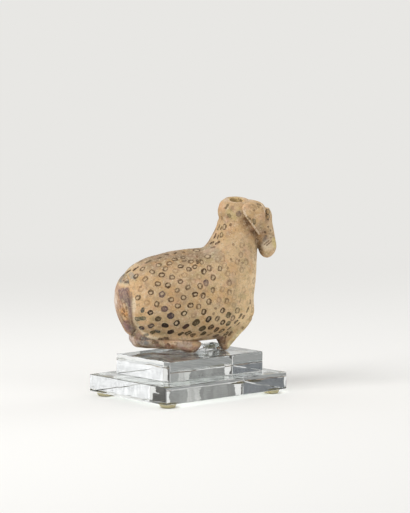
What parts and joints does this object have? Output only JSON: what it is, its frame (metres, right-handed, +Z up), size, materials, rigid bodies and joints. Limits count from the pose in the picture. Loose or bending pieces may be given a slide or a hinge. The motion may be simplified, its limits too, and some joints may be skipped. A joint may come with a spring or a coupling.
{
  "type": "ram-shaped aryballos",
  "caption": "Small hollow clay oil flask shaped as a resting ram, its narrow mouth on the crown of the head, shown on a stepped clear stand with soft feet.",
  "frame": {"origin": "middle of the base of the whole's box, on the plane that the stand's feet rest on", "axes": "+Z up; +X along the plates' long side, towards the end that the ram's head reaches over; +Y to the ram's left"},
  "size_m": [0.0878, 0.0678, 0.0989],
  "materials": {
    "spotted_clay": "matt fired clay, buff to light orange, with painted dark brown rings worn in places",
    "plain_clay": "matt fired clay, pale buff, with faint grey and brown washes",
    "worn_purple_slip": "matt purple-brown slip, worn through to buff clay",
    "dark_slip": "matt dark brown slip round a pale centre",
    "clear_acrylic": "clear cast plate with polished faces and edges",
    "foot_rubber": "soft translucent pad, slightly yellowed"
  },
  "bodies": {
    "stand": {"lower_plate": "clear_acrylic", "upper_plate": "clear_acrylic", "prop_block": "clear_acrylic", "foot_front_right": "foot_rubber", "foot_front_left": "foot_rubber", "foot_rear_left": "foot_rubber", "foot_rear_right": "foot_rubber"},
    "flask": {"body_right_half": "spotted_clay", "body_left_half": "spotted_clay", "mouth_crown": "spotted_clay", "face": "plain_clay", "right_horn": "plain_clay", "left_horn": "plain_clay", "right_eye": "dark_slip", "left_eye": "dark_slip", "tail": "worn_purple_slip", "right_hind_leg": "worn_purple_slip", "left_hind_leg": "worn_purple_slip", "right_foreleg": "plain_clay", "left_foreleg": "plain_clay"}
  },
  "joints": [
    {"name": "flask_lift", "type": "slide", "parent": "stand", "child": "flask", "axis": [0, 0, 1], "range_m": [0, 0.04]}
  ]
}
